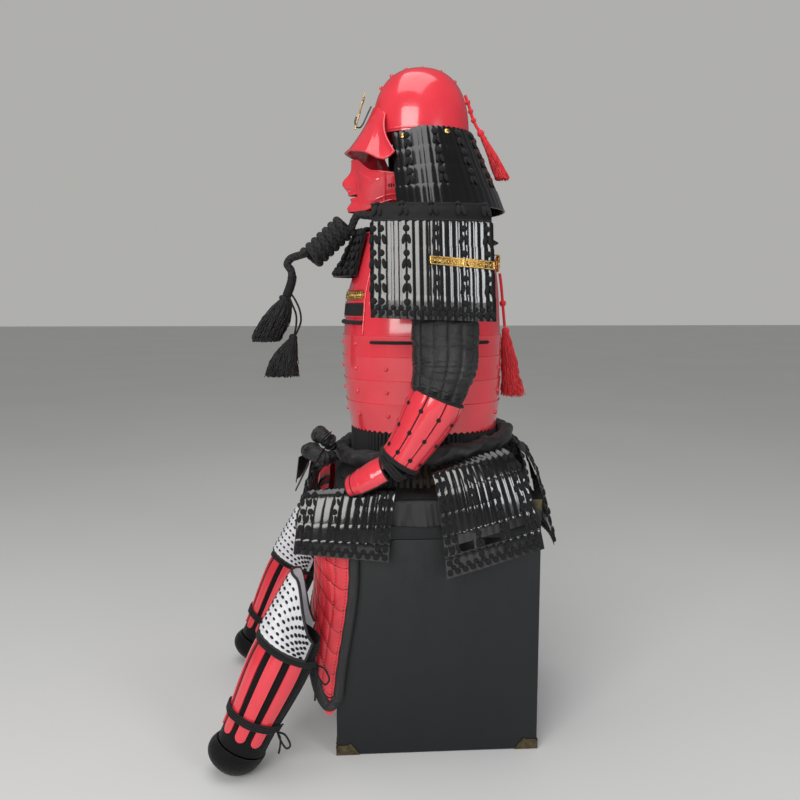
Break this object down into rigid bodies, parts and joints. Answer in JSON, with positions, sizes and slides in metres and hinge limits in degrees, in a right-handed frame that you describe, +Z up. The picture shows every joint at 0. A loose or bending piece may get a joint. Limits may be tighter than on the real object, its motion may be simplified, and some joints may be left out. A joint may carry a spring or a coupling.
{
  "type": "samurai armour on an armour chest",
  "caption": "Seated red and black samurai armour: lacquered helmet and mask, laced guards, cuirass, tassets, quilted cloth and shin guards, worn by a stand on its storage chest.",
  "frame": {"origin": "centre of the chest's bottom face, on the ground", "axes": "+Z up; the armour faces -Y; its left side is +X"},
  "size_m": [0.6338, 0.7337, 1.428],
  "materials": {
    "red_lacquer": "deep gloss lacquer",
    "black_lacquer": "gloss lacquer on laced lames",
    "black_lacing": "braided silk cord",
    "black_satin": "quilted satin",
    "red_silk": "silk cord and floss",
    "white_quilt": "felted cloth with knots",
    "gilt": "gilded",
    "chest_paint": "satin paint",
    "stand_wood": "oiled",
    "red_quilt": "quilted glossy leather"
  },
  "bodies": {
    "root": {"helmet_bowl": "red_lacquer", "helmet_visor": "red_lacquer", "face_mask": "red_lacquer", "cuirass_front": "red_lacquer", "cuirass_back": "red_lacquer", "forearm_guard_left": "red_lacquer", "forearm_guard_right": "red_lacquer", "hand_plate_left": "red_lacquer", "hand_plate_right": "red_lacquer", "shin_guard_left": "red_lacquer", "shin_guard_right": "red_lacquer", "neck_guard": "black_lacquer", "throat_guard": "black_lacquer", "tasset_front": "black_lacquer", "tasset_front_side_left": "black_lacquer", "tasset_front_side_right": "black_lacquer", "tasset_side_left": "black_lacquer", "tasset_side_right": "black_lacquer", "tasset_back_left": "black_lacquer", "tasset_back_right": "black_lacquer", "shoulder_guard_left": "black_lacquer", "shoulder_guard_right": "black_lacquer", "shoulder_crown_left": "black_lacquer", "shoulder_crown_right": "black_lacquer", "shoulder_strap_left": "black_lacquer", "shoulder_strap_right": "black_lacquer", "rope_knot": "black_lacing", "rope_neck": "black_lacing", "rope_tail": "black_lacing", "rope_tassel_upper": "black_lacing", "rope_tassel_lower": "black_lacing", "suspension_laces": "black_lacing", "shin_tie_left": "black_lacing", "shin_tie_right": "black_lacing", "thigh_cloth": "black_satin", "sash_ring": "black_satin", "sash_loop_upper": "black_satin", "sash_loop_lower": "black_satin", "sash_end_flat": "black_satin", "sash_end_pointed": "black_satin", "sleeve_left": "black_satin", "sleeve_right": "black_satin", "toe_cover_left": "black_satin", "toe_cover_right": "black_satin", "helmet_cord": "red_silk", "helmet_tassel": "red_silk", "back_cord": "red_silk", "back_tassel": "red_silk", "knee_guard_left": "white_quilt", "knee_guard_right": "white_quilt", "helmet_crest": "gilt", "chest_plaque": "gilt", "back_ring": "gilt", "gilt_bar_left": "gilt", "gilt_bar_right": "gilt", "chest_body": "chest_paint", "chest_lid": "chest_paint", "armour_stand": "stand_wood", "thigh_panel_left": "red_quilt", "thigh_panel_right": "red_quilt"}
  },
  "joints": []
}
